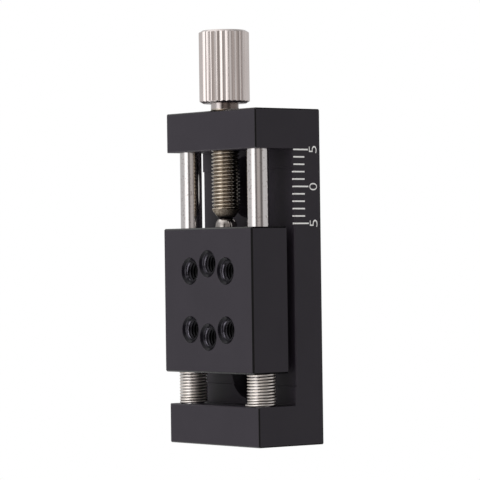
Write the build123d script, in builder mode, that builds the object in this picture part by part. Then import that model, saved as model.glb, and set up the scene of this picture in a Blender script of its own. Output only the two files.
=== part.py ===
from build123d import *
import os

# Miniature manual translation stage: a C-shaped frame, a carriage on two guide rods, a fine
# adjusting screw that pushes it through a steel ball, and two springs that push it back.
#
# Millimetres. The stage stands upright: +Z is the travel, towards the knob, -Y is the payload
# side and +X the side with the scale. The origin is midway between the two mounting holes, on
# the back face.

os.makedirs("parts", exist_ok=True)

# Frame
FRAME_WIDTH = 20.0
FRAME_DEPTH = 11.2
FRAME_HEIGHT = 45.6
LUG_THICKNESS = 5.4
PLATE_THICKNESS = 4.9
RELIEF_DEPTH = 0.2  # milled out of the plate, so that only a land beside each lug is full height
RELIEF_LAND = 2.6
FRAME_EDGE_BREAK = 0.15
SCALE_EDGE_BREAK = 0.15  # along the relief, where the marks of the scale begin

# Mounting holes, for two M4 low-head screws put in from the front
MOUNT_SPACING = 25.0
MOUNT_HOLE_DIAMETER = 4.5
MOUNT_HEAD_DIAMETER = 8.6
MOUNT_HEAD_DEPTH = 3.0

# Carriage
CARRIAGE_INSET = 0.1  # of each side, from the side of the frame
CARRIAGE_WIDTH = FRAME_WIDTH - 2 * CARRIAGE_INSET
CARRIAGE_HEIGHT = 19.8
CARRIAGE_THICKNESS = 6.2
CARRIAGE_PROUD = 0.8  # stands out in front of the lugs, so a payload clears them
CARRIAGE_EDGE_BREAK = 0.2
TRAVEL_GAP = 10.55  # from the carriage to the top lug at rest

# Payload holes: four M3 on a square and two more on the centre line, tapped right through
PAYLOAD_THREAD_DIAMETER = 3.0
PAYLOAD_SINK_DIAMETER = 3.8
PAYLOAD_SINK_ANGLE = 90
PAYLOAD_SQUARE = 8.0
PAYLOAD_PAIR = 10.0

# Guide rods
ROD_DIAMETER = 3.0
ROD_SPACING = 15.0
ROD_LENGTH = 44.0
ROD_SOCKET_DEPTH = 4.1  # blind, in the top lug; the bottom lug is drilled right through
ROD_END_GAP = 0.1
ROD_EDGE_BREAK = 0.25
ROD_SEAT_CLEARANCE = 0.01
ROD_RUNNING_CLEARANCE = 0.03

# Grub screws that hold the rods, put in from the back
GRUB_DIAMETER = 2.5
GRUB_LENGTH = 5.0
GRUB_SOCKET_SIZE = 1.3  # across flats
GRUB_SOCKET_DEPTH = 1.2
GRUB_EDGE_BREAK = 0.25
GRUB_CLEARANCE = 0.02

# Return springs
SPRING_WIRE = 0.3
SPRING_DIAMETER = 3.85
SPRING_PITCH = 0.4
SPRING_STEPS = 11  # straight steps in each turn
SPRING_POCKET_DIAMETER = 4.15
SPRING_POCKET_DEPTH = 1.5
SPRING_SEAT_GAP = 0.02

# Adjusting screw, M4 x 0.5, which runs in a thread cut in the top lug
SCREW_THREAD_DIAMETER = 4.0
SCREW_CLEARANCE = 0.05
SCREW_SETBACK = 0.3  # stands behind the rods, which leaves metal in front of its thread
SHANK_DIAMETER = 3.8
SHANK_SHOULDER = 0.4  # the shank begins so far above the top lug at rest
SCREW_TIP_DIAMETER = 2.3
SCREW_TIP_LENGTH = 1.15
SCREW_CUP_DEPTH = 0.25  # hollow in the tip that centres it on the ball
SCREW_CUP_GAP = 0.02

# Thrust ball
BALL_DIAMETER = 3.0
BALL_PROUD = 0.15  # height of its centre above the carriage
BALL_SEAT_CLEARANCE = 0.02

# Knob
KNOB_DIAMETER = 6.9
KNOB_LENGTH = 10.0
KNOB_GAP = 1.05  # from the top lug at rest
KNOB_BORE_DEPTH = 7.5
KNOB_BORE_CLEARANCE = 0.01
KNOB_EDGE_BREAK = 0.45
FLUTE_COUNT = 26
FLUTE_DEPTH = 0.22
FLUTE_START = 2.4  # angle of the first flute at rest

# Places that follow from those sizes
window_half = FRAME_HEIGHT / 2 - LUG_THICKNESS  # the lugs face each other across the window
carriage_front = FRAME_DEPTH + CARRIAGE_PROUD
rod_y = CARRIAGE_THICKNESS / 2 - carriage_front  # the rods stand mid-carriage
screw_y = rod_y + SCREW_SETBACK
carriage_top = window_half - TRAVEL_GAP
carriage_bottom = carriage_top - CARRIAGE_HEIGHT
carriage_mid = (carriage_top + carriage_bottom) / 2
rod_top = window_half + ROD_SOCKET_DEPTH - ROD_END_GAP
rod_bottom = rod_top - ROD_LENGTH
rod_centres = [(-ROD_SPACING / 2, rod_y), (ROD_SPACING / 2, rod_y)]
ball_z = carriage_top + BALL_PROUD
screw_tip = ball_z + BALL_DIAMETER / 2 - SCREW_CUP_DEPTH
screw_radius = SCREW_THREAD_DIAMETER / 2 - SCREW_CLEARANCE
shank_bottom = FRAME_HEIGHT / 2 + SHANK_SHOULDER
knob_bottom = FRAME_HEIGHT / 2 + KNOB_GAP
screw_top = knob_bottom + KNOB_BORE_DEPTH
screw_axis = Axis((0, screw_y, 0), (0, 0, 1))

front_plane = Plane(origin=(0, -carriage_front, carriage_mid), x_dir=(1, 0, 0), z_dir=(0, -1, 0))
plate_plane = Plane(origin=(0, RELIEF_DEPTH - PLATE_THICKNESS, 0), x_dir=(1, 0, 0), z_dir=(0, -1, 0))
back_plane = Plane(origin=(0, 0, 0), x_dir=(-1, 0, 0), z_dir=(0, 1, 0))


def finish(piece, label):
    """Label a finished piece and write it."""
    piece.part.label = label
    export_step(piece.part, f"parts/{label}.step")


# Frame: one C-shaped block, with its two lugs bored in line for the rods
with BuildPart() as base_frame:
    with BuildSketch(Plane.YZ):
        with Locations((-FRAME_DEPTH / 2, 0)):
            Rectangle(FRAME_DEPTH, FRAME_HEIGHT)
        with Locations((-PLATE_THICKNESS, 0)):
            Rectangle(FRAME_DEPTH, 2 * window_half, align=(Align.MAX, Align.CENTER), mode=Mode.SUBTRACT)
            Rectangle(2 * RELIEF_DEPTH, 2 * (window_half - RELIEF_LAND), mode=Mode.SUBTRACT)
    extrude(amount=FRAME_WIDTH / 2, both=True)
    lug_fronts = base_frame.edges().group_by(Axis.Y)[0]
    back_edges = base_frame.edges().group_by(Axis.Y)[-1]
    end_edges = base_frame.edges().group_by(Axis.Z)[0] + base_frame.edges().group_by(Axis.Z)[-1]
    chamfer(ShapeList(set(lug_fronts + back_edges + end_edges)), FRAME_EDGE_BREAK)
    scale_edge = base_frame.edges().filter_by_position(
        Axis.Y, RELIEF_DEPTH - PLATE_THICKNESS, RELIEF_DEPTH - PLATE_THICKNESS
    )
    chamfer(scale_edge.filter_by(Axis.Z).sort_by(Axis.X)[-1], SCALE_EDGE_BREAK)

    with Locations(plate_plane):
        with GridLocations(0, MOUNT_SPACING, 1, 2):
            CounterBoreHole(
                radius=MOUNT_HOLE_DIAMETER / 2,
                counter_bore_radius=MOUNT_HEAD_DIAMETER / 2,
                counter_bore_depth=MOUNT_HEAD_DEPTH,
                depth=PLATE_THICKNESS,
            )
    with BuildSketch(Plane.XY.offset(window_half)):
        with Locations(rod_centres):
            Circle(ROD_DIAMETER / 2 + ROD_SEAT_CLEARANCE)
    extrude(amount=ROD_SOCKET_DEPTH, mode=Mode.SUBTRACT)
    with BuildSketch(Plane.XY.offset(-window_half)):
        with Locations(rod_centres):
            Circle(ROD_DIAMETER / 2 + ROD_SEAT_CLEARANCE)
    extrude(amount=-LUG_THICKNESS, mode=Mode.SUBTRACT)
    with BuildSketch(Plane.XY.offset(window_half)):
        with Locations((0, screw_y)):
            Circle(SCREW_THREAD_DIAMETER / 2)
    extrude(amount=LUG_THICKNESS, mode=Mode.SUBTRACT)
    with Locations(back_plane):
        with GridLocations(ROD_SPACING, FRAME_HEIGHT - LUG_THICKNESS, 2, 2):
            Hole(GRUB_DIAMETER / 2 + GRUB_CLEARANCE, depth=-rod_y)
finish(base_frame, "base_frame")


# Carriage: bored for the rods from end to end, with a pocket for each spring below
with BuildPart() as carriage:
    with BuildSketch(Plane.XY.offset(carriage_bottom)):
        with Locations((0, rod_y)):
            Rectangle(CARRIAGE_WIDTH, CARRIAGE_THICKNESS)
    extrude(amount=CARRIAGE_HEIGHT)
    chamfer(carriage.edges(), CARRIAGE_EDGE_BREAK)
    with BuildSketch(Plane.XY.offset(carriage_bottom)):
        with Locations(rod_centres):
            Circle(ROD_DIAMETER / 2 + ROD_RUNNING_CLEARANCE)
    extrude(amount=CARRIAGE_HEIGHT, mode=Mode.SUBTRACT)
    with BuildSketch(Plane.XY.offset(carriage_bottom)):
        with Locations(rod_centres):
            Circle(SPRING_POCKET_DIAMETER / 2)
    extrude(amount=SPRING_POCKET_DEPTH, mode=Mode.SUBTRACT)
    with BuildSketch(Plane.XY.offset(carriage_top)):
        with Locations((0, screw_y)):
            Circle(BALL_DIAMETER / 2 + BALL_SEAT_CLEARANCE)
    extrude(amount=BALL_PROUD - BALL_DIAMETER / 2, mode=Mode.SUBTRACT)
    for pattern in ((PAYLOAD_SQUARE, PAYLOAD_SQUARE, 2, 2), (0, PAYLOAD_PAIR, 1, 2)):
        with Locations(front_plane):
            with GridLocations(*pattern):
                CounterSinkHole(
                    radius=PAYLOAD_THREAD_DIAMETER / 2,
                    counter_sink_radius=PAYLOAD_SINK_DIAMETER / 2,
                    depth=CARRIAGE_THICKNESS,
                    counter_sink_angle=PAYLOAD_SINK_ANGLE,
                )
finish(carriage, "carriage")


# Guide rods and return springs, one of each per side
coil_bottom = -window_half + SPRING_SEAT_GAP + SPRING_WIRE / 2
coil_top = carriage_bottom + SPRING_POCKET_DEPTH - SPRING_SEAT_GAP - SPRING_WIRE / 2
coil_steps = round(SPRING_STEPS * (coil_top - coil_bottom) / SPRING_PITCH)
for side, centre in zip(("left", "right"), rod_centres):
    with BuildPart() as guide_rod:
        with BuildSketch(Plane.XY.offset(rod_bottom)):
            with Locations(centre):
                Circle(ROD_DIAMETER / 2)
        extrude(amount=ROD_LENGTH)
        chamfer(guide_rod.edges().filter_by(GeomType.CIRCLE), ROD_EDGE_BREAK)
    finish(guide_rod, f"guide_rod_{side}")

    coil = Helix(
        pitch=SPRING_PITCH,
        height=coil_top - coil_bottom,
        radius=(SPRING_DIAMETER - SPRING_WIRE) / 2,
        center=(*centre, coil_bottom),
    )
    with BuildPart() as return_spring:
        with BuildLine() as stepped_coil:
            Polyline([coil @ (step / coil_steps) for step in range(coil_steps + 1)])
        with BuildSketch(Plane(origin=coil @ 0, z_dir=stepped_coil.line % 0)):
            RegularPolygon(SPRING_WIRE / 2, 4)
        sweep(transition=Transition.RIGHT)
    finish(return_spring, f"return_spring_{side}")


# Grub screws: their flat points bear on the rods
for level, sign in (("top", 1), ("bottom", -1)):
    for side, centre in zip(("left", "right"), rod_centres):
        grub_z = sign * (FRAME_HEIGHT - LUG_THICKNESS) / 2
        point_plane = Plane(
            origin=(centre[0], rod_y + ROD_DIAMETER / 2, grub_z), x_dir=(1, 0, 0), z_dir=(0, 1, 0)
        )
        with BuildPart() as grub_screw:
            with BuildSketch(point_plane):
                Circle(GRUB_DIAMETER / 2)
            extrude(amount=GRUB_LENGTH)
            chamfer(grub_screw.edges().filter_by(GeomType.CIRCLE), GRUB_EDGE_BREAK)
            with BuildSketch(point_plane.offset(GRUB_LENGTH)):
                RegularPolygon(GRUB_SOCKET_SIZE / 2, 6, major_radius=False)
            extrude(amount=-GRUB_SOCKET_DEPTH, mode=Mode.SUBTRACT)
        finish(grub_screw, f"rod_grub_screw_{level}_{side}")


# Adjusting screw: a coned tip with a cup for the ball, the threaded length and the knob's shank
with BuildPart() as adjusting_screw:
    with BuildSketch(Plane(origin=(0, screw_y, 0), x_dir=(1, 0, 0), z_dir=(0, -1, 0))):
        with BuildLine():
            Polyline(
                (0, screw_tip),
                (SCREW_TIP_DIAMETER / 2, screw_tip),
                (screw_radius, screw_tip + SCREW_TIP_LENGTH),
                (screw_radius, shank_bottom),
                (SHANK_DIAMETER / 2, shank_bottom),
                (SHANK_DIAMETER / 2, screw_top),
                (0, screw_top),
                close=True,
            )
        make_face()
    revolve(axis=screw_axis)
    with Locations((0, screw_y, ball_z)):
        Sphere(BALL_DIAMETER / 2 + SCREW_CUP_GAP, mode=Mode.SUBTRACT)
finish(adjusting_screw, "adjusting_screw")


with BuildPart() as thrust_ball:
    with Locations((0, screw_y, ball_z)):
        Sphere(BALL_DIAMETER / 2)
finish(thrust_ball, "thrust_ball")


# Knob: a straight-knurled barrel, blind-bored for the shank
with BuildPart() as knob:
    with BuildSketch(Plane.XY.offset(knob_bottom)):
        with Locations((0, screw_y)):
            Circle(KNOB_DIAMETER / 2)
    extrude(amount=KNOB_LENGTH)
    chamfer(knob.edges().filter_by(GeomType.CIRCLE), KNOB_EDGE_BREAK)
    with BuildSketch(Plane.XY.offset(knob_bottom)):
        with Locations((0, screw_y)):
            with PolarLocations(KNOB_DIAMETER / 2, FLUTE_COUNT, start_angle=FLUTE_START):
                RegularPolygon(FLUTE_DEPTH, 4)
    extrude(amount=KNOB_LENGTH, mode=Mode.SUBTRACT)
    with BuildSketch(Plane.XY.offset(knob_bottom)):
        with Locations((0, screw_y)):
            Circle(SHANK_DIAMETER / 2 + KNOB_BORE_CLEARANCE)
    extrude(amount=KNOB_BORE_DEPTH, mode=Mode.SUBTRACT)
finish(knob, "knob")
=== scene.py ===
"""A miniature linear translation stage: its finishes, fine parts, camera and light."""

import math

import bmesh
import bpy
from mathutils import Matrix, Vector


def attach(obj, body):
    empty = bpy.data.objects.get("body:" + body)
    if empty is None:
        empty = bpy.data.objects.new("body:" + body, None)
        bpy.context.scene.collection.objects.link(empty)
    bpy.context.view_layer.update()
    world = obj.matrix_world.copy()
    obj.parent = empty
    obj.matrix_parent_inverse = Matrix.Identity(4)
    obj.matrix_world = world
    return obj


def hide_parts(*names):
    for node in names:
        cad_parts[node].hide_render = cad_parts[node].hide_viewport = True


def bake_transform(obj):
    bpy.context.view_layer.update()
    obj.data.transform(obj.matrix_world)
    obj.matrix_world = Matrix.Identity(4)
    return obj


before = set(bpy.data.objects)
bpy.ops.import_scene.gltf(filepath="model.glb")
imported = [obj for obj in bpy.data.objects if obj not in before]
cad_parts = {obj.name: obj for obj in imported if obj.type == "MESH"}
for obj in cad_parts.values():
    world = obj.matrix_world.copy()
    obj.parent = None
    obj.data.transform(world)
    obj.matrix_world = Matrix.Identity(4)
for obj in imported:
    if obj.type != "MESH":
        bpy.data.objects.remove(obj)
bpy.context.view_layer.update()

MM = 0.001
TURN = 2 * math.pi

# Places and sizes in millimetres, as the solids have them
SIDE = 10.0
FRAME_FRONT = -11.2
FOOT = -22.8
EDGE_BREAK = 0.15
WINDOW_HALF = 17.4
PLATE_FRONT = -4.9
RELIEF_FRONT = -4.7
CARRIAGE_HALF = (9.9, 3.1, 9.9)
CARRIAGE_FRONT = -12.0
CARRIAGE_MID = -3.05
CARRIAGE_BOTTOM = -12.95
CARRIAGE_EDGE_BREAK = 0.2
SPRING_POCKET_DEPTH = 1.5
ROD_X = 7.5
ROD_Y = -8.9
SCREW_Y = -8.6
THREAD_PITCH = 0.5  # both of the fine screw and of the payload holes


# ---------------------------------------------------------------- shader building blocks


def node_group(name, inputs, outputs):
    """An empty shader group with named sockets, and the two ends of its inside."""
    group = bpy.data.node_groups.new(name, "ShaderNodeTree")
    for label, kind, default in inputs:
        socket = group.interface.new_socket(name=label, in_out="INPUT", socket_type=kind)
        if default is not None:
            socket.default_value = default
    for label, kind in outputs:
        group.interface.new_socket(name=label, in_out="OUTPUT", socket_type=kind)
    start = group.nodes.new("NodeGroupInput")
    end = group.nodes.new("NodeGroupOutput")
    return group, start.outputs, end.inputs


def noise(nodes, links, place, scale, detail=2.0):
    """Noise of so many cells a metre on the given coordinates."""
    node = nodes.new("ShaderNodeTexNoise")
    node.inputs["Detail"].default_value = detail
    for socket, value in (("Vector", place), ("Scale", scale)):
        if isinstance(value, (int, float)):
            node.inputs[socket].default_value = value
        else:
            links.new(value, node.inputs[socket])
    return node.outputs["Fac"]


def spread(nodes, links, value, low, high, to_low=0.0, to_high=1.0):
    """Stretch the part of a value between low and high over a new range."""
    node = nodes.new("ShaderNodeMapRange")
    node.inputs["From Min"].default_value = low
    node.inputs["From Max"].default_value = high
    for socket, target in (("To Min", to_low), ("To Max", to_high)):
        if isinstance(target, (int, float)):
            node.inputs[socket].default_value = target
        else:
            links.new(target, node.inputs[socket])
    links.new(value, node.inputs["Value"])
    return node.outputs["Result"]


def maths(nodes, links, operation, first, second):
    """One sum on two values."""
    node = nodes.new("ShaderNodeMath")
    node.operation = operation
    for socket, value in zip(node.inputs, (first, second)):
        if isinstance(value, (int, float)):
            socket.default_value = value
        else:
            links.new(value, socket)
    return node.outputs["Value"]


VALUE, VECTOR = "NodeSocketFloat", "NodeSocketVector"


def make_surface_grain():
    """Fine grain of a blasted or etched surface, with broad soft cloudiness over it."""
    group, given, result = node_group(
        "surface grain",
        (("Place", VECTOR, None), ("Grain Scale", VALUE, 9000.0), ("Cloud Scale", VALUE, 250.0)),
        (("Grain", VALUE), ("Cloud", VALUE)),
    )
    nodes, links = group.nodes, group.links
    grain = noise(nodes, links, given["Place"], given["Grain Scale"], 3.0)
    cloud = noise(nodes, links, given["Place"], given["Cloud Scale"], 3.0)
    links.new(spread(nodes, links, grain, 0.3, 0.7), result["Grain"])
    links.new(spread(nodes, links, cloud, 0.3, 0.7), result["Cloud"])
    return group


def make_tool_lines():
    """Lines that a tool leaves: noise drawn out along the directions whose share is small."""
    group, given, result = node_group(
        "tool lines",
        (
            ("Place", VECTOR, None),
            ("Share", VECTOR, (1.0, 1.0, 1.0)),
            ("Line Scale", VALUE, 9000.0),
        ),
        (("Lines", VALUE),),
    )
    nodes, links = group.nodes, group.links
    drawn_out = nodes.new("ShaderNodeVectorMath")
    drawn_out.operation = "MULTIPLY"
    links.new(given["Place"], drawn_out.inputs[0])
    links.new(given["Share"], drawn_out.inputs[1])
    lines = noise(nodes, links, drawn_out.outputs["Vector"], given["Line Scale"], 4.0)
    links.new(spread(nodes, links, lines, 0.3, 0.7), result["Lines"])
    return group


def make_edge_breaks():
    """Mask of a block's broken edges: where two of its half sizes are nearly reached together."""
    group, given, result = node_group(
        "edge breaks",
        (
            ("Place", VECTOR, None),
            ("Centre", VECTOR, (0.0, 0.0, 0.0)),
            ("Half", VECTOR, (0.0, 0.0, 0.0)),
            ("Break", VALUE, 0.0),
        ),
        (("Edge", VALUE),),
    )
    nodes, links = group.nodes, group.links
    place = given["Place"]
    steps = (("SUBTRACT", given["Centre"]), ("ABSOLUTE", None), ("SUBTRACT", given["Half"]))
    for operation, other in steps:
        step = nodes.new("ShaderNodeVectorMath")
        step.operation = operation
        links.new(place, step.inputs[0])
        if other is not None:
            links.new(other, step.inputs[1])
        place = step.outputs["Vector"]
    parts = nodes.new("ShaderNodeSeparateXYZ")
    links.new(place, parts.inputs[0])
    x, y, z = parts.outputs
    front_edges, side_edges, end_edges = (
        maths(nodes, links, "ADD", *pair) for pair in ((x, y), (y, z), (x, z))
    )
    nearest = maths(nodes, links, "MAXIMUM", front_edges, side_edges)
    nearest = maths(nodes, links, "MAXIMUM", nearest, end_edges)
    short = maths(nodes, links, "ADD", nearest, given["Break"])
    links.new(spread(nodes, links, short, -0.05 * MM, -0.01 * MM), result["Edge"])
    return group


SURFACE_GRAIN = make_surface_grain()
EDGE_BREAKS = make_edge_breaks()
TOOL_LINES = make_tool_lines()


class Finish:
    """A material under construction: its shader, its object coordinates and its links."""

    def __init__(self, name, colour, metallic, roughness):
        self.material = bpy.data.materials.new(name)
        self.material.use_nodes = True
        self.nodes = self.material.node_tree.nodes
        self.links = self.material.node_tree.links
        self.shader = self.nodes["Principled BSDF"]
        self.shader.inputs["Base Color"].default_value = (*colour, 1.0)
        self.shader.inputs["Metallic"].default_value = metallic
        self.shader.inputs["Roughness"].default_value = roughness
        self.colour = colour
        self.place = self.nodes.new("ShaderNodeTexCoord").outputs["Object"]

    def effect(self, group, **settings):
        """Place a shared group on the object's coordinates and return its outputs."""
        node = self.nodes.new("ShaderNodeGroup")
        node.node_tree = group
        self.links.new(self.place, node.inputs["Place"])
        for label, value in settings.items():
            node.inputs[label.replace("_", " ")].default_value = value
        return node.outputs

    def roughness_from(self, mask, low, high):
        """Let a mask move the roughness between two values."""
        wanted = spread(self.nodes, self.links, mask, 0.0, 1.0, low, high)
        self.links.new(wanted, self.shader.inputs["Roughness"])

    def colour_from(self, mask, second, share=1.0):
        """Mix the base colour towards a second one where a mask is high."""
        mix = self.nodes.new("ShaderNodeMix")
        mix.data_type = "RGBA"
        first_socket, second_socket = mix.inputs[6], mix.inputs[7]
        first_socket.default_value = (*self.colour, 1.0)
        second_socket.default_value = (*second, 1.0)
        amount = maths(self.nodes, self.links, "MULTIPLY", mask, share)
        self.links.new(amount, mix.inputs[0])
        self.links.new(mix.outputs[2], self.shader.inputs["Base Color"])

    def colour_over(self, mask, colour):
        """Lay one more colour over what already feeds the base colour."""
        below = self.shader.inputs["Base Color"].links[0].from_socket
        mix = self.nodes.new("ShaderNodeMix")
        mix.data_type = "RGBA"
        mix.inputs[7].default_value = (*colour, 1.0)
        self.links.new(mask, mix.inputs[0])
        self.links.new(below, mix.inputs[6])
        self.links.new(mix.outputs[2], self.shader.inputs["Base Color"])

    def place_from(self, axis_x, axis_y):
        """Coordinates measured from an upright axis, as their three parts and the radius."""
        from_axis = self.nodes.new("ShaderNodeVectorMath")
        from_axis.operation = "SUBTRACT"
        from_axis.inputs[1].default_value = (axis_x * MM, axis_y * MM, 0.0)
        self.links.new(self.place, from_axis.inputs[0])
        parts = self.nodes.new("ShaderNodeSeparateXYZ")
        self.links.new(from_axis.outputs["Vector"], parts.inputs[0])
        x, y, z = parts.outputs
        squares = [maths(self.nodes, self.links, "MULTIPLY", part, part) for part in (x, y)]
        total = maths(self.nodes, self.links, "ADD", *squares)
        return x, y, z, maths(self.nodes, self.links, "SQRT", total, 0.0)

    def bump_from(self, height, depth):
        """Raise the surface by a height mask, with the depth in metres."""
        bump = self.nodes.new("ShaderNodeBump")
        bump.inputs["Strength"].default_value = 1.0
        bump.inputs["Distance"].default_value = depth
        self.links.new(height, bump.inputs["Height"])
        self.links.new(bump.outputs["Normal"], self.shader.inputs["Normal"])


def black_anodised(name, centre, half, edge_break):
    """Fine satin black of anodised aluminium, smoother on its cut edges, which carry a painted
    dark reflection.
    """
    finish = Finish(name, (0.0215, 0.0170, 0.0250), 0.0, 0.5)
    finish.shader.inputs["Specular IOR Level"].default_value = 0.34
    grain = finish.effect(SURFACE_GRAIN, Grain_Scale=11000.0, Cloud_Scale=180.0)
    edges = finish.effect(
        EDGE_BREAKS,
        Centre=[value * MM for value in centre],
        Half=[value * MM for value in half],
        Break=edge_break * MM,
    )
    finish.colour_from(grain["Cloud"], (0.0250, 0.0200, 0.0285))
    # Painted dark reflection: the cut edges are made near black in colour.
    finish.colour_over(edges["Edge"], (0.0020, 0.0018, 0.0024))
    blasted = spread(finish.nodes, finish.links, grain["Grain"], 0.0, 1.0, 0.44, 0.56)
    cut = spread(finish.nodes, finish.links, edges["Edge"], 0.0, 1.0, blasted, 0.2)
    finish.links.new(cut, finish.shader.inputs["Roughness"])
    finish.bump_from(grain["Grain"], 0.000004)
    return finish.material


def anodised_thread():
    """Near-black lining of the tapped holes, with a painted glint on one side of the first turns.
    """
    # The near-black base colour is painted shade inside the holes.
    finish = Finish("anodised thread", (0.0034, 0.0027, 0.0052), 0.0, 0.26)
    finish.shader.inputs["Specular IOR Level"].default_value = 0.11
    nodes, links = finish.nodes, finish.links
    grain = finish.effect(SURFACE_GRAIN, Grain_Scale=6000.0, Cloud_Scale=1300.0)
    parts = nodes.new("ShaderNodeSeparateXYZ")
    links.new(finish.place, parts.inputs[0])
    y = parts.outputs[1]
    depths = (1.25, 0.4, 0.27, 0.32)
    glint_starts, glint_fullest, sink, past_sink = ((CARRIAGE_FRONT + depth) * MM for depth in depths)
    # Painted highlight: bright metal on the first turns, only on the side facing +X.
    first_turns = maths(
        nodes,
        links,
        "MULTIPLY",
        spread(nodes, links, y, glint_starts, glint_fullest),
        spread(nodes, links, y, sink, past_sink),
    )
    facing = nodes.new("ShaderNodeSeparateXYZ")
    links.new(finish.place.node.outputs["Normal"], facing.inputs[0])
    glint_side = spread(nodes, links, facing.outputs[0], 0.05, 0.6)
    glint_turns = maths(nodes, links, "MULTIPLY", first_turns, glint_side)
    patchy = spread(nodes, links, grain["Cloud"], 0.1, 0.6)
    painted_glint = maths(nodes, links, "MULTIPLY", glint_turns, patchy)
    finish.colour_from(painted_glint, (0.24, 0.225, 0.27))
    links.new(painted_glint, finish.shader.inputs["Metallic"])
    finish.roughness_from(grain["Grain"], 0.20, 0.32)
    return finish.material


def ground_steel():
    """Bright centreless-ground rod, with a few lines round it and small dull specks."""
    finish = Finish("ground steel", (0.72, 0.685, 0.68), 1.0, 0.11)
    lines = finish.effect(TOOL_LINES, Share=(0.05, 0.05, 1.0), Line_Scale=14000.0)
    marks = finish.effect(SURFACE_GRAIN, Grain_Scale=3600.0, Cloud_Scale=1500.0)
    specks = spread(finish.nodes, finish.links, marks["Grain"], 0.72, 0.98)
    finish.colour_from(specks, (0.30, 0.25, 0.23), 0.55)
    finish.roughness_from(lines["Lines"], 0.07, 0.16)
    return finish.material


def spring_steel(name, axis):
    """Drawn wire, bright outside, with painted shade between its turns."""
    finish = Finish(name, (0.88, 0.83, 0.80), 1.0, 0.24)
    nodes, links = finish.nodes, finish.links
    grain = finish.effect(SURFACE_GRAIN, Grain_Scale=9000.0, Cloud_Scale=900.0)
    radius = finish.place_from(*axis)[3]
    # Painted shade: the wire's inner side, between its turns, is darkened.
    between = spread(nodes, links, radius, 1.915 * MM, 1.862 * MM)
    finish.colour_from(grain["Cloud"], (0.70, 0.62, 0.54), 0.6)
    finish.colour_over(between, (0.13, 0.105, 0.085))
    finish.roughness_from(grain["Grain"], 0.32, 0.44)
    return finish.material


SHADED_SIDE_DIRECTION = (0.615, 0.789)  # direction across the screw, in X and Y, of its side with painted shade


def screw_steel():
    """Thread bright on its crests, with painted shade in its roots and on one side; painted shade
    on one side of the cone and shank, and on the tip next to the ball."""
    finish = Finish("screw steel", (0.80, 0.735, 0.65), 1.0, 0.22)
    nodes, links = finish.nodes, finish.links
    grain = finish.effect(SURFACE_GRAIN, Grain_Scale=5000.0, Cloud_Scale=700.0)
    lines = finish.effect(TOOL_LINES, Share=(0.3, 0.3, 1.0), Line_Scale=12000.0)
    x, y, z, radius = finish.place_from(0.0, SCREW_Y)
    # Painted shade: darker towards the thread's roots, where its flanks face each other; random
    # clouds are mixed in.
    depth = spread(nodes, links, radius, 1.90 * MM, 1.68 * MM)
    on_thread = spread(nodes, links, z, 9.25 * MM, 9.4 * MM)
    roots = maths(nodes, links, "MULTIPLY", depth, on_thread)
    clouded = maths(nodes, links, "MULTIPLY", grain["Cloud"], 0.5)
    root_shade_and_cloud = maths(nodes, links, "MAXIMUM", roots, clouded)
    # Painted shade: the screw darkens towards one side across it, and this turns with the screw.
    across = [
        maths(nodes, links, "MULTIPLY", part, share) for part, share in zip((x, y), SHADED_SIDE_DIRECTION)
    ]
    aside = maths(nodes, links, "ADD", *across)
    painted_side_shade = spread(nodes, links, aside, 0.1 * MM, 1.7 * MM, 0.0, 0.85)
    finish.colour_from(root_shade_and_cloud, (0.24, 0.195, 0.15))
    finish.colour_over(painted_side_shade, (0.06, 0.05, 0.04))
    # Painted shade on one side of the shank.
    shank = spread(nodes, links, aside, -0.95 * MM, -0.35 * MM, 0.0, 0.9)
    on_shank = spread(nodes, links, z, 23.0 * MM, 23.2 * MM)
    finish.colour_over(on_shank, (0.60, 0.545, 0.535))
    finish.colour_over(maths(nodes, links, "MULTIPLY", shank, on_shank), (0.15, 0.115, 0.10))
    on_cone = spread(nodes, links, z, 9.4 * MM, 9.3 * MM)
    finish.colour_over(maths(nodes, links, "MULTIPLY", on_cone, 0.9), (0.34, 0.27, 0.20))
    scuffs = spread(nodes, links, grain["Grain"], 0.47, 0.60, 0.0, 0.8)
    finish.colour_over(maths(nodes, links, "MULTIPLY", on_cone, scuffs), (0.80, 0.70, 0.56))
    # Painted shade on one side of the cone.
    painted_cone_shade = spread(nodes, links, aside, -0.6 * MM, 1.1 * MM, 0.0, 0.95)
    finish.colour_over(maths(nodes, links, "MULTIPLY", on_cone, painted_cone_shade), (0.05, 0.045, 0.04))
    # Painted shade on the tip where it meets the ball.
    finish.colour_over(spread(nodes, links, z, 8.8 * MM, 8.36 * MM), (0.02, 0.018, 0.016))
    bare = spread(nodes, links, z, 9.3 * MM, 9.4 * MM, 0.5, 1.0)
    links.new(bare, finish.shader.inputs["Metallic"])
    finish.roughness_from(lines["Lines"], 0.15, 0.28)
    finish.bump_from(grain["Grain"], 0.000003)
    return finish.material


def ball_steel():
    """Polished bearing ball, with dark clouds painted on it as reflection."""
    finish = Finish("ball steel", (0.52, 0.485, 0.46), 1.0, 0.06)
    grain = finish.effect(SURFACE_GRAIN, Grain_Scale=2500.0, Cloud_Scale=1100.0)
    # Painted reflection: dark clouds over the ball's colour.
    finish.colour_from(grain["Cloud"], (0.16, 0.14, 0.13), 0.9)
    finish.roughness_from(grain["Cloud"], 0.04, 0.12)
    return finish.material


def knob_stainless():
    """Turned stainless steel, with fine lines along the flutes."""
    finish = Finish("knob stainless", (0.81, 0.74, 0.715), 1.0, 0.20)
    lines = finish.effect(TOOL_LINES, Share=(1.0, 1.0, 0.04), Line_Scale=5000.0)
    grain = finish.effect(SURFACE_GRAIN, Grain_Scale=6000.0, Cloud_Scale=380.0)
    finish.colour_from(lines["Lines"], (0.68, 0.60, 0.575), 0.6)
    finish.roughness_from(grain["Cloud"], 0.15, 0.24)
    return finish.material


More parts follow.
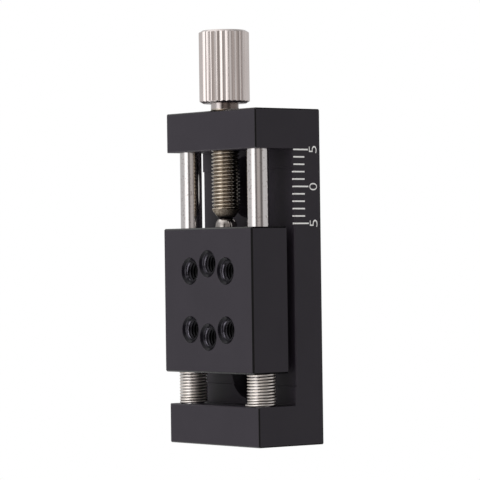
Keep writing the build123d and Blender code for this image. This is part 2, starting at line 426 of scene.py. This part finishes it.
def blackened_steel():
    """Chemically blackened grub screw."""
    finish = Finish("blackened steel", (0.035, 0.033, 0.036), 0.9, 0.38)
    grain = finish.effect(SURFACE_GRAIN, Grain_Scale=7000.0, Cloud_Scale=900.0)
    finish.roughness_from(grain["Grain"], 0.30, 0.46)
    return finish.material


def engraved_bright():
    """Bare aluminium where the scale is cut through the anodising, frosted on the relief."""
    finish = Finish("engraved bright", (0.98, 0.97, 0.955), 1.0, 0.42)
    nodes, links = finish.nodes, finish.links
    grain = finish.effect(SURFACE_GRAIN, Grain_Scale=9000.0, Cloud_Scale=1500.0)
    finish.colour_from(grain["Cloud"], (0.93, 0.91, 0.89), 0.5)
    parts = nodes.new("ShaderNodeSeparateXYZ")
    links.new(finish.place, parts.inputs[0])
    frosted, bare = ((RELIEF_FRONT + behind) * MM for behind in (0.01, 0.03))
    metallic = spread(nodes, links, parts.outputs[1], frosted, bare)
    links.new(metallic, finish.shader.inputs["Metallic"])
    finish.roughness_from(grain["Grain"], 0.36, 0.48)
    return finish.material


FRAME_BLACK = black_anodised(
    "black anodised frame",
    (0.0, FRAME_FRONT / 2, 0.0),
    (SIDE, -FRAME_FRONT / 2, -FOOT),
    EDGE_BREAK,
)
CARRIAGE_BLACK = black_anodised(
    "black anodised carriage", (0.0, ROD_Y, CARRIAGE_MID), CARRIAGE_HALF, CARRIAGE_EDGE_BREAK
)
THREAD_BLACK = anodised_thread()
SCALE_BRIGHT = engraved_bright()
FINISHES = {
    "ground_steel": ground_steel(),
    "screw_steel": screw_steel(),
    "ball_steel": ball_steel(),
    "knob_stainless": knob_stainless(),
    "blackened_steel": blackened_steel(),
}


# ---------------------------------------------------------------- shaping tools


def soften(bm, sharp_angle=32):
    """Shade faces smooth except across edges sharper than an angle in degrees."""
    for face in bm.faces:
        face.smooth = True
    for edge in bm.edges:
        edge.smooth = edge.calc_face_angle(0.0) < math.radians(sharp_angle)


def finished(bm, name, material, sharp_angle=32):
    """Turn a bmesh drawn in millimetres into an object at its real place and size."""
    soften(bm, sharp_angle)
    bmesh.ops.transform(bm, matrix=Matrix.Scale(MM, 4), verts=bm.verts)
    mesh = bpy.data.meshes.new(name)
    bm.to_mesh(mesh)
    bm.free()
    mesh.materials.append(material)
    piece = bpy.data.objects.new(name, mesh)
    bpy.context.scene.collection.objects.link(piece)
    return piece


def stand_in(bm, node, body, slot, sharp_angle=32):
    """A finished piece that takes the place of one CAD node and rides on its body."""
    piece = finished(bm, node + "_piece", FINISHES[slot], sharp_angle)
    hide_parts(node)
    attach(piece, body)
    return piece


def draw_line(bm, points):
    """Points (radius, height) joined by edges in the plane of the X and Z axes."""
    verts = [bm.verts.new((radius, 0.0, height)) for radius, height in points]
    edges = [bm.edges.new(pair) for pair in zip(verts, verts[1:])]
    return verts + edges


def full_turn(bm, line, steps):
    """Spin a line once round the Z axis."""
    bmesh.ops.spin(
        bm, geom=line, cent=(0, 0, 0), axis=(0, 0, 1), angle=TURN, steps=steps, use_merge=True
    )


def lathe(profile, steps=96):
    """Turn a profile of (radius, height) points about the Z axis into a closed shape."""
    bm = bmesh.new()
    full_turn(bm, draw_line(bm, profile), steps)
    bmesh.ops.remove_doubles(bm, verts=bm.verts, dist=1e-4)
    bmesh.ops.recalc_face_normals(bm, faces=bm.faces)
    return bm


def shift(bm, x=0.0, y=0.0, z=0.0):
    """Move a whole bmesh."""
    bmesh.ops.translate(bm, vec=(x, y, z), verts=bm.verts)


def turn_about(bm, axis, degrees):
    """Turn a whole bmesh about one of its axes."""
    turned = Matrix.Rotation(math.radians(degrees), 3, axis)
    bmesh.ops.rotate(bm, cent=(0, 0, 0), matrix=turned, verts=bm.verts)


def edges_of(parts):
    """The edges among a mixed list of mesh parts."""
    return [part for part in parts if isinstance(part, bmesh.types.BMEdge)]


# ---------------------------------------------------------------- guide rods


def guide_rod(side, x):
    """Ground rod with a small chamfer at each end."""
    low, high, radius, chamfer = -22.6, 21.4, 1.5, 0.25
    bm = lathe(
        (
            (0, low),
            (radius - chamfer, low),
            (radius, low + chamfer),
            (radius, high - chamfer),
            (radius - chamfer, high),
            (0, high),
        )
    )
    shift(bm, x, ROD_Y)
    stand_in(bm, f"guide_rod_{side}", "frame", "ground_steel")


# ---------------------------------------------------------------- return springs


def wind(bm, ring, angle, rise, steps, centre=0.0):
    """Draw a wire's section round an axis, and return its ring at the far end."""
    wound = bmesh.ops.spin(
        bm,
        geom=ring,
        cent=(centre, 0, 0),
        axis=(0, 0, 1),
        dvec=(0, 0, rise / steps),
        angle=angle,
        steps=steps,
    )
    return wound["geom_last"]


def close_end(bm, ring):
    """Face over the open end of a wire."""
    bmesh.ops.contextual_create(bm, geom=edges_of(ring))


def return_spring(side, x, start_angle):
    """Round wire wound round the rod: a flared end, two closed turns, then an even pitch."""
    wire, radius, pitch, closed_turns = 0.178, 1.77, 0.416, 2
    low = -WINDOW_HALF + wire + 0.01
    high = CARRIAGE_BOTTOM + SPRING_POCKET_DEPTH - wire - 0.02
    lean = 0.085 if side == "right" else 0.0  # that spring stands a little off its rod
    steps_a_turn, flare_radius, flare_angle = 40, 4.0, math.radians(19)
    touching_gap, seat = 0.004, 0.3
    bm = bmesh.new()
    bmesh.ops.create_circle(
        bm,
        segments=12,
        radius=wire,
        matrix=Matrix.Translation((radius, 0, low)) @ Matrix.Rotation(math.pi / 2, 4, "X"),
    )
    ring = list(bm.verts) + list(bm.edges)
    close_end(bm, wind(bm, ring, -flare_angle, 0.0, 5, radius - flare_radius))
    closed_rise = closed_turns * (2 * wire + touching_gap)
    ring = wind(bm, ring, closed_turns * TURN, closed_rise, closed_turns * steps_a_turn)
    turns = (high - low - closed_rise) / pitch
    steps = round(turns * steps_a_turn)
    close_end(bm, wind(bm, ring, turns * TURN, turns * pitch, steps))
    bmesh.ops.remove_doubles(bm, verts=bm.verts, dist=1e-5)
    bmesh.ops.recalc_face_normals(bm, faces=bm.faces)
    turn_about(bm, "Z", start_angle)
    axis = (x + lean * 0.6, ROD_Y + lean * 0.8)
    shift(bm, *axis)
    node = f"return_spring_{side}"
    piece = finished(bm, node + "_piece", spring_steel(f"spring steel {side}", axis), 60)
    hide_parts(node)
    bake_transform(piece)


# ---------------------------------------------------------------- screw thread


def threaded(root, crest, low, high, steps=48):
    """An open threaded wall: one tooth spun up a helix until it covers low to high."""
    pitch = THREAD_PITCH
    flank, flat = 0.36 * pitch, 0.14 * pitch
    bm = bmesh.new()
    tooth = (
        (root, low - pitch),
        (root, low - 2 * flank - flat),
        (crest, low - flank - flat),
        (crest, low - flank),
        (root, low),
    )
    line = draw_line(bm, tooth)
    turns = math.ceil((high - low) / pitch) + 2
    bmesh.ops.spin(
        bm,
        geom=line,
        cent=(0, 0, 0),
        axis=(0, 0, 1),
        dvec=(0, 0, pitch / steps),
        angle=turns * TURN,
        steps=turns * steps,
    )
    bmesh.ops.remove_doubles(bm, verts=bm.verts, dist=1e-3)
    return bm


def cut_flat(bm, height, keep_above):
    """Cut a bmesh at a height and throw one side away; returns the rim's edges."""
    cut = bmesh.ops.bisect_plane(
        bm,
        geom=list(bm.verts) + list(bm.edges) + list(bm.faces),
        dist=1e-5,
        plane_co=(0, 0, height),
        plane_no=(0, 0, 1),
        clear_inner=keep_above,
        clear_outer=not keep_above,
    )
    return edges_of(cut["geom_cut"])


def adjusting_screw():
    """Fine thread between a smooth coned tip below and a plain shank above."""
    tip, cone_top, shank, top = 8.25, 9.35, 23.2, 31.35
    tip_radius, root, crest, plain = 1.15, 1.66, 1.95, 1.9
    cup_radius, cup_depth = 0.85, 0.25
    thread_start, thread_end = 8.82, 9.0  # the thread's phase, and where it runs out in the cone
    bm = threaded(root, crest, thread_start, shank)
    ends = cut_flat(bm, thread_end, True) + cut_flat(bm, shank, False)
    for vert in bm.verts:
        slope = (vert.co.z - tip) / (cone_top - tip)
        allowed = tip_radius + (crest - tip_radius) * slope - 0.01
        reach = math.hypot(vert.co.x, vert.co.y)
        if reach > allowed:
            vert.co.x *= allowed / reach
            vert.co.y *= allowed / reach
    bmesh.ops.holes_fill(bm, edges=ends, sides=0)
    bmesh.ops.recalc_face_normals(bm, faces=bm.faces)
    cone = (
        (0, tip + cup_depth),
        (cup_radius * 0.4, tip + cup_depth),
        (cup_radius, tip),
        (tip_radius, tip),
        (crest, cone_top),
        (root, cone_top + 0.06),
        (0, cone_top + 0.06),
    )
    stem = (
        (0, shank - 0.4),
        (root, shank - 0.4),
        (plain, shank - 0.1),
        (plain, top - 0.2),
        (plain - 0.2, top),
        (0, top),
    )
    for profile in (cone, stem):
        join_into(bm, lathe(profile, 64))
    shift(bm, 0, SCREW_Y)
    stand_in(bm, "adjusting_screw", "screw", "screw_steel", 24)


def join_into(bm, other):
    """Add another bmesh's shape to a bmesh."""
    mesh = bpy.data.meshes.new("joined")
    other.to_mesh(mesh)
    other.free()
    bm.from_mesh(mesh)
    bpy.data.meshes.remove(mesh)


# ---------------------------------------------------------------- ball


def thrust_ball():
    """Bearing ball under the screw's tip."""
    bm = bmesh.new()
    bmesh.ops.create_uvsphere(bm, u_segments=64, v_segments=40, radius=1.5)
    shift(bm, 0, SCREW_Y, 7.0)
    stand_in(bm, "thrust_ball", "carriage", "ball_steel", 60)


# ---------------------------------------------------------------- knob


def knob():
    """Barrel with straight flutes that run out over the chamfers, bored from below."""
    low, high, radius = 23.85, 33.85, 3.45
    chamfer_in, chamfer_up = 0.5, 0.3
    flutes, flute_depth, steps_a_flute, first = 26, 0.157, 14, 7.3
    flute_half = (steps_a_flute / 2 - 1) * TURN * radius / (flutes * steps_a_flute)
    bore, bore_depth = 1.91, 7.5
    bm = bmesh.new()
    bmesh.ops.create_circle(
        bm, segments=flutes * steps_a_flute, radius=radius, matrix=Matrix.Translation((0, 0, low))
    )
    rings = 6
    levels = [low + chamfer_up * step / rings for step in range(rings + 1)]
    levels += [high - chamfer_up * step / rings for step in range(rings, -1, -1)]
    edges = base_edges = list(bm.edges)
    for before, after in zip(levels, levels[1:]):
        grown = bmesh.ops.extrude_edge_only(bm, edges=edges)["geom"]
        verts = [part for part in grown if isinstance(part, bmesh.types.BMVert)]
        edges = [edge for edge in edges_of(grown) if all(v in verts for v in edge.verts)]
        bmesh.ops.translate(bm, vec=(0, 0, after - before), verts=verts)
    pitch = TURN / flutes
    for vert in bm.verts:
        angle = math.atan2(vert.co.y, vert.co.x)
        across = abs((angle + pitch / 2) % pitch - pitch / 2) * radius
        allowed = radius - flute_depth * max(0.0, 1 - across / flute_half)
        end = min(vert.co.z - low, high - vert.co.z)
        if end < chamfer_up:
            allowed = min(allowed, radius - chamfer_in * (1 - end / chamfer_up))
        reach = math.hypot(vert.co.x, vert.co.y)
        vert.co.x *= allowed / reach
        vert.co.y *= allowed / reach
    for rim, height in ((edges, high), (base_edges, low)):
        bmesh.ops.holes_fill(bm, edges=rim, sides=0)
    bottom = min(bm.faces, key=lambda face: face.calc_center_median().z)
    bmesh.ops.recalc_face_normals(bm, faces=bm.faces)
    bmesh.ops.inset_individual(bm, faces=[bottom], thickness=radius - chamfer_in - bore)
    grown = bmesh.ops.extrude_discrete_faces(bm, faces=[bottom])["faces"]
    bore_end = list({vert for face in grown for vert in face.verts})
    bmesh.ops.translate(bm, vec=(0, 0, bore_depth), verts=bore_end)
    turn_about(bm, "Z", first)
    shift(bm, 0, SCREW_Y)
    stand_in(bm, "knob", "screw", "knob_stainless", 18)


# ---------------------------------------------------------------- payload threads


def payload_thread(name, x, z):
    """Threaded lining of one payload hole, with a narrow sink at its mouth."""
    crest, wall, sink_radius, sink_depth, length = 1.27, 1.53, 1.80, 0.29, 6.2
    top = length - sink_depth
    bm = threaded(wall - 0.02, crest, 0.0, top, 40)
    cut_flat(bm, 0.0, True)
    cut_flat(bm, top, False)
    bmesh.ops.recalc_face_normals(bm, faces=bm.faces)
    sink = bmesh.new()
    mouth = ((crest + 0.02, top - 0.05), (wall - 0.03, top), (sink_radius, length - 0.01))
    full_turn(sink, draw_line(sink, mouth), 64)
    bmesh.ops.recalc_face_normals(sink, faces=sink.faces)
    join_into(bm, sink)
    for face in bm.faces:
        middle = face.calc_center_median()
        if face.normal.x * middle.x + face.normal.y * middle.y > 0:
            face.normal_flip()
    turn_about(bm, "X", 90)
    shift(bm, x, CARRIAGE_FRONT + length, z)
    piece = finished(bm, name, THREAD_BLACK, 24)
    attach(piece, "carriage")


def payload_threads():
    """Linings of the four holes on the square and the two on the centre line."""
    square, pair = 4.0, 5.0
    places = {
        "top_left": (-square, square),
        "top_middle": (0.0, pair),
        "top_right": (square, square),
        "bottom_left": (-square, -square),
        "bottom_middle": (0.0, -pair),
        "bottom_right": (square, -square),
    }
    for where, (x, z) in places.items():
        payload_thread(f"payload_thread_{where}", x, CARRIAGE_MID + z)


# ---------------------------------------------------------------- scale


def scale_bar(bm, low, high):
    """One thin bar between two corners."""
    bar = bmesh.ops.create_cube(bm, size=1.0)["verts"]
    size = [b - a for a, b in zip(low, high)]
    middle = [(a + b) / 2 for a, b in zip(low, high)]
    bmesh.ops.scale(bm, vec=size, verts=bar)
    bmesh.ops.translate(bm, vec=middle, verts=bar)
    return bar


def scale_mark(bm, z, end, height, on_relief):
    """A mark on the side face; on the relief it runs over the broken edge onto the front."""
    skin, on_front = 0.008, 0.22
    low, high = z - height / 2, z + height / 2
    start = (RELIEF_FRONT if on_relief else PLATE_FRONT) + EDGE_BREAK
    scale_bar(bm, (SIDE - skin, start, low), (SIDE + skin, end, high))
    if not on_relief:
        return
    inner = SIDE - EDGE_BREAK
    under, over = RELIEF_FRONT - skin, RELIEF_FRONT + skin
    scale_bar(bm, (inner - on_front, under, low), (inner, over, high))
    bridge = scale_bar(bm, (inner, under, low), (SIDE, over, high))
    for vert in bridge:
        vert.co.y += vert.co.x - inner


def travel_scale():
    """Eleven marks a millimetre apart, the ends and the middle longer and numbered."""
    zero, short_end, long_end, height = 12.25, -2.83, -2.19, 0.2
    relief_top = 14.5
    bm = bmesh.new()
    for step in range(-5, 6):
        z = zero + step
        end = long_end if step % 5 == 0 else short_end
        scale_mark(bm, z, end, height, z < relief_top)
    piece = finished(bm, "scale_marks", SCALE_BRIGHT)
    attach(piece, "frame")


def scale_number(name, text, z):
    """A numeral lying on its side, its top towards the payload."""
    curve = bpy.data.curves.new(name, "FONT")
    curve.body = text
    curve.size = 1.0
    curve.extrude = 0.01
    curve.offset = -0.012
    curve.align_x = "CENTER"
    curve.align_y = "CENTER"
    drawn = bpy.data.objects.new(name + "_outline", curve)
    bpy.context.scene.collection.objects.link(drawn)
    bpy.context.view_layer.update()
    mesh = bpy.data.meshes.new_from_object(drawn)
    bpy.data.objects.remove(drawn)
    bm = bmesh.new()
    bm.from_mesh(mesh)
    low = [min(vert.co[axis] for vert in bm.verts) for axis in range(2)]
    high = [max(vert.co[axis] for vert in bm.verts) for axis in range(2)]
    shift(bm, *(-(a + b) / 2 for a, b in zip(low, high)))
    wide, tall, middle_y = 0.98, 1.32, -1.35
    fit = (wide / (high[0] - low[0]), tall / (high[1] - low[1]), 1)
    bmesh.ops.scale(bm, vec=fit, verts=bm.verts)
    # They read up the stage, with their tops towards -Y, and face +X
    turn = Matrix(((0, 0, 1), (0, -1, 0), (1, 0, 0)))
    bmesh.ops.transform(bm, matrix=turn.to_4x4(), verts=bm.verts)
    shift(bm, SIDE, middle_y, z)
    bmesh.ops.remove_doubles(bm, verts=bm.verts, dist=1e-5)
    bmesh.ops.recalc_face_normals(bm, faces=bm.faces)
    piece = finished(bm, name, SCALE_BRIGHT)
    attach(piece, "frame")


# ---------------------------------------------------------------- assembly

for cad_node, black in (("base_frame", FRAME_BLACK), ("carriage", CARRIAGE_BLACK)):
    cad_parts[cad_node].data.materials[0] = black
for level in ("top", "bottom"):
    for side in ("left", "right"):
        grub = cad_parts[f"rod_grub_screw_{level}_{side}"]
        grub.data.materials[0] = FINISHES["blackened_steel"]
for side, x, start_angle in (("left", -ROD_X, 200.0), ("right", ROD_X, 269.0)):
    guide_rod(side, x)
    return_spring(side, x, start_angle)
adjusting_screw()
thrust_ball()
knob()
payload_threads()
travel_scale()
for name, text, z in (("up", "5", 17.27), ("zero", "0", 12.235), ("down", "5", 7.25)):
    scale_number(f"scale_number_{name}", text, z)


# ---------------------------------------------------------------- room, light and camera


# Brightness of the studio's walls by compass bearing in degrees, 0 being in front of the payload
# face: a tall softbox, a dark edge at each side of the opening for the camera, and white cloth.
STUDIO_WALLS = (
    (-180, 0.62),
    (-50, 0.60),
    (-30, 0.62),
    (-22, 0.80),
    (-15, 1.25),
    (-10, 1.45),
    (0, 1.7),
    (10, 1.7),
    (17, 1.3),
    (22, 0.6),
    (28, 0.16),
    (37, 0.16),
    (41, 0.38),
    (48, 0.45),
    (60, 0.48),
    (68, 0.44),
    (75, 0.28),
    (82, 0.14),
    (90, 0.14),
    (97, 0.30),
    (105, 0.64),
    (122, 0.64),
    (180, 0.62),
)
WARM = (1.06, 1.0, 0.97)
# Levels of the cloth overhead and underfoot, brighter on the softbox's side
CLOTH_AHEAD, CLOTH_BEHIND = 1.8, 0.05


def studio_walls():
    """White for the camera; for the object, the lit walls of a small photographic tent."""
    world = bpy.data.worlds.new("studio walls")
    bpy.context.scene.world = world
    world.use_nodes = True
    nodes, links = world.node_tree.nodes, world.node_tree.links
    nodes.clear()
    parts = nodes.new("ShaderNodeSeparateXYZ")
    links.new(nodes.new("ShaderNodeTexCoord").outputs["Generated"], parts.inputs[0])
    x, y, z = parts.outputs
    bearing = maths(nodes, links, "ARCTAN2", x, maths(nodes, links, "MULTIPLY", y, -1.0))
    walls = nodes.new("ShaderNodeValToRGB")
    ramp = walls.color_ramp
    while len(ramp.elements) < len(STUDIO_WALLS):
        ramp.elements.new(0.5)
    for stop, (degrees, level) in zip(ramp.elements, STUDIO_WALLS):
        stop.position = (degrees + 180) / 360
        tint = WARM if level < 0.5 else (1.0, 1.0, 1.0)
        stop.color = (*(level * share for share in tint), 1.0)
    links.new(spread(nodes, links, bearing, -math.pi, math.pi), walls.inputs["Fac"])
    steep = spread(nodes, links, maths(nodes, links, "ABSOLUTE", z, 0.0), 0.45, 0.75)
    ahead = maths(
        nodes,
        links,
        "ADD",
        maths(nodes, links, "MULTIPLY", x, 0.5),
        maths(nodes, links, "MULTIPLY", y, 0.85),
    )
    cloth = spread(nodes, links, ahead, 0.5, -0.6, CLOTH_BEHIND, CLOTH_AHEAD)
    lit = nodes.new("ShaderNodeMix")
    lit.data_type = "RGBA"
    links.new(cloth, lit.inputs[7])
    links.new(steep, lit.inputs[0])
    links.new(walls.outputs["Color"], lit.inputs[6])
    cast = nodes.new("ShaderNodeBackground")
    links.new(lit.outputs[2], cast.inputs["Color"])
    seen = nodes.new("ShaderNodeBackground")
    seen.inputs["Color"].default_value = (1, 1, 1, 1)
    choice = nodes.new("ShaderNodeMixShader")
    links.new(nodes.new("ShaderNodeLightPath").outputs["Is Camera Ray"], choice.inputs[0])
    links.new(cast.outputs[0], choice.inputs[1])
    links.new(seen.outputs[0], choice.inputs[2])
    links.new(choice.outputs[0], nodes.new("ShaderNodeOutputWorld").inputs["Surface"])


def pale_floor():
    """White floor under the foot; light passes through it as through the tent's cloth."""
    bm = bmesh.new()
    far, clear = 3000.0, 0.02
    bmesh.ops.create_grid(bm, x_segments=1, y_segments=1, size=far)
    shift(bm, z=FOOT - clear)
    finish = Finish("pale floor", (0.9, 0.9, 0.9), 0.0, 0.9)
    nodes, links = finish.nodes, finish.links
    glow = nodes.new("ShaderNodeEmission")
    choice = nodes.new("ShaderNodeMixShader")
    links.new(nodes.new("ShaderNodeLightPath").outputs["Is Camera Ray"], choice.inputs[0])
    links.new(nodes.new("ShaderNodeBsdfTransparent").outputs[0], choice.inputs[1])
    links.new(glow.outputs[0], choice.inputs[2])
    links.new(choice.outputs[0], nodes["Material Output"].inputs["Surface"])
    finished(bm, "pale_floor", finish.material)


def studio_camera():
    """Camera at the stage's front right, a little above its middle."""
    azimuth, elevation, roll = (math.radians(a) for a in (52.06274, -0.37063, -0.76503))
    distance, across, up_shift = 397.4308, -4.93909, 5.17428
    back = Vector(
        (
            math.sin(azimuth) * math.cos(elevation),
            -math.cos(azimuth) * math.cos(elevation),
            math.sin(elevation),
        )
    )
    right = Vector((math.cos(azimuth), math.sin(azimuth), 0.0))
    up = back.cross(right)
    location = (back * distance + right * across + up * up_shift) * MM
    turned_right = right * math.cos(roll) + up * math.sin(roll)
    turned_up = up * math.cos(roll) - right * math.sin(roll)
    data = bpy.data.cameras.new("studio camera")
    sensor, frame_pixels, focal_pixels = 36.0, 480, 2863.57
    data.sensor_width = sensor
    data.lens = focal_pixels / frame_pixels * sensor
    data.clip_start, data.clip_end = 0.01, 20.0
    camera = bpy.data.objects.new("studio camera", data)
    bpy.context.scene.collection.objects.link(camera)
    axes = Matrix((turned_right, turned_up, back)).transposed().to_4x4()
    camera.matrix_world = Matrix.Translation(location) @ axes
    bpy.context.scene.camera = camera


studio_walls()
pale_floor()
studio_camera()
bpy.context.scene.view_settings.view_transform = "Standard"
